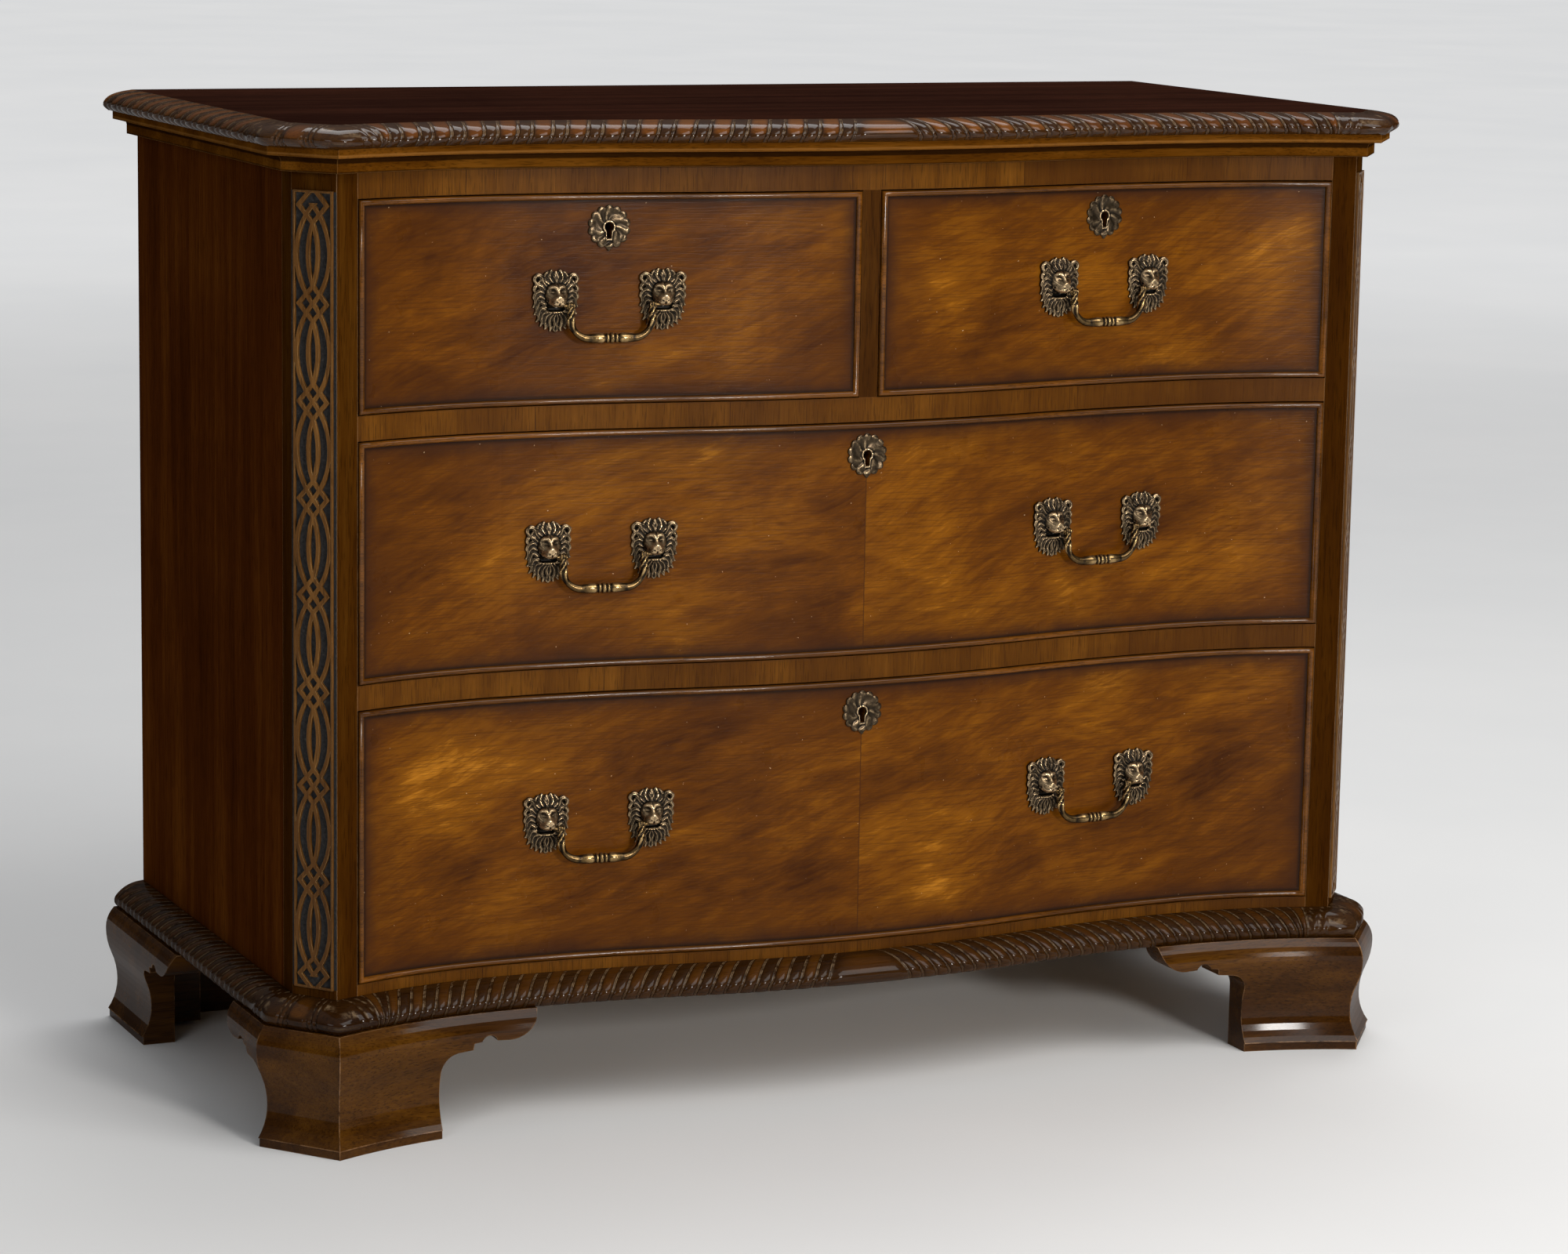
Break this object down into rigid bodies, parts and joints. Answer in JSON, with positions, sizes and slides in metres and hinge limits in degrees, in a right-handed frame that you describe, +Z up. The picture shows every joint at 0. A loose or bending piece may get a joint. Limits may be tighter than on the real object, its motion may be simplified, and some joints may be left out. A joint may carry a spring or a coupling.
{
  "type": "serpentine chest of drawers",
  "caption": "Serpentine-fronted mahogany chest of drawers with carved gadroon edges, fretted canted corners, mask handles with swinging bails and ogee bracket feet",
  "frame": {"origin": "on the floor, in the middle of the chest's outline in plan", "axes": "+X to the right seen from the front, +Y to the back, +Z up; the drawers open towards -Y"},
  "size_m": [1.14, 0.5505, 0.898],
  "materials": {
    "mahogany": "french polished, straight grain",
    "flame_veneer": "french polished flame veneer",
    "dark_mahogany": "dark stained and polished",
    "oak": "plain planed, unpolished",
    "brass": "cast, darkened with age",
    "iron": "dull dark iron"
  },
  "bodies": {
    "case": {"left_side": "dark_mahogany", "right_side": "dark_mahogany", "back_boards": "oak", "case_bottom": "oak", "corner_post_left": "mahogany", "corner_post_right": "mahogany", "corner_frets": "mahogany", "top_rail": "mahogany", "top_divider": "mahogany", "upper_blade": "mahogany", "lower_blade": "mahogany", "bottom_rail": "mahogany", "drawer_runners": "oak", "dust_boards": "oak", "top_board": "dark_mahogany", "top_gadroon": "dark_mahogany", "top_moulding": "mahogany", "base_gadroon": "dark_mahogany", "foot_front_left": "mahogany", "foot_front_right": "mahogany", "foot_rear_left": "mahogany", "foot_rear_right": "mahogany"},
    "top_left_drawer": {"top_left_front": "flame_veneer", "top_left_cockbead": "mahogany", "top_left_box": "oak", "top_left_bottom": "oak", "top_left_lock": "iron", "top_left_escutcheon": "brass", "top_left_masks": "brass", "top_left_studs": "iron"},
    "top_right_drawer": {"top_right_front": "flame_veneer", "top_right_cockbead": "mahogany", "top_right_box": "oak", "top_right_bottom": "oak", "top_right_lock": "iron", "top_right_escutcheon": "brass", "top_right_masks": "brass", "top_right_studs": "iron"},
    "middle_drawer": {"middle_front": "flame_veneer", "middle_cockbead": "mahogany", "middle_box": "oak", "middle_bottom": "oak", "middle_lock": "iron", "middle_escutcheon": "brass", "middle_masks": "brass", "middle_studs": "iron"},
    "bottom_drawer": {"bottom_front": "flame_veneer", "bottom_cockbead": "mahogany", "bottom_box": "oak", "bottom_bottom": "oak", "bottom_lock": "iron", "bottom_escutcheon": "brass", "bottom_masks": "brass", "bottom_studs": "iron"},
    "top_left_bail": {"top_left_bail": "brass"},
    "top_right_bail": {"top_right_bail": "brass"},
    "middle_left_bail": {"middle_left_bail": "brass"},
    "middle_right_bail": {"middle_right_bail": "brass"},
    "bottom_left_bail": {"bottom_left_bail": "brass"},
    "bottom_right_bail": {"bottom_right_bail": "brass"}
  },
  "joints": [
    {"name": "top_left_slide", "type": "slide", "parent": "case", "child": "top_left_drawer", "axis": [0, -1, 0], "range_m": [0, 0.36]},
    {"name": "top_right_slide", "type": "slide", "parent": "case", "child": "top_right_drawer", "axis": [0, -1, 0], "range_m": [0, 0.36]},
    {"name": "middle_slide", "type": "slide", "parent": "case", "child": "middle_drawer", "axis": [0, -1, 0], "range_m": [0, 0.36]},
    {"name": "bottom_slide", "type": "slide", "parent": "case", "child": "bottom_drawer", "axis": [0, -1, 0], "range_m": [0, 0.36]},
    {"name": "top_left_bail_pivot", "type": "hinge", "parent": "top_left_drawer", "child": "top_left_bail", "pos_m": [-0.24504, -0.21688, 0.736], "axis": [-0.9951, 0.0988, 0], "range_deg": [0, 100]},
    {"name": "top_right_bail_pivot", "type": "hinge", "parent": "top_right_drawer", "child": "top_right_bail", "pos_m": [0.24998, -0.2164, 0.736], "axis": [-0.9956, -0.0938, 0], "range_deg": [0, 100]},
    {"name": "middle_left_bail_pivot", "type": "hinge", "parent": "middle_drawer", "child": "middle_left_bail", "pos_m": [-0.24998, -0.2164, 0.513], "axis": [-0.9956, 0.0938, 0], "range_deg": [0, 100]},
    {"name": "middle_right_bail_pivot", "type": "hinge", "parent": "middle_drawer", "child": "middle_right_bail", "pos_m": [0.24998, -0.2164, 0.513], "axis": [-0.9956, -0.0938, 0], "range_deg": [0, 100]},
    {"name": "bottom_left_bail_pivot", "type": "hinge", "parent": "bottom_drawer", "child": "bottom_left_bail", "pos_m": [-0.24998, -0.2164, 0.267], "axis": [-0.9956, 0.0938, 0], "range_deg": [0, 100]},
    {"name": "bottom_right_bail_pivot", "type": "hinge", "parent": "bottom_drawer", "child": "bottom_right_bail", "pos_m": [0.24998, -0.2164, 0.267], "axis": [-0.9956, -0.0938, 0], "range_deg": [0, 100]}
  ]
}
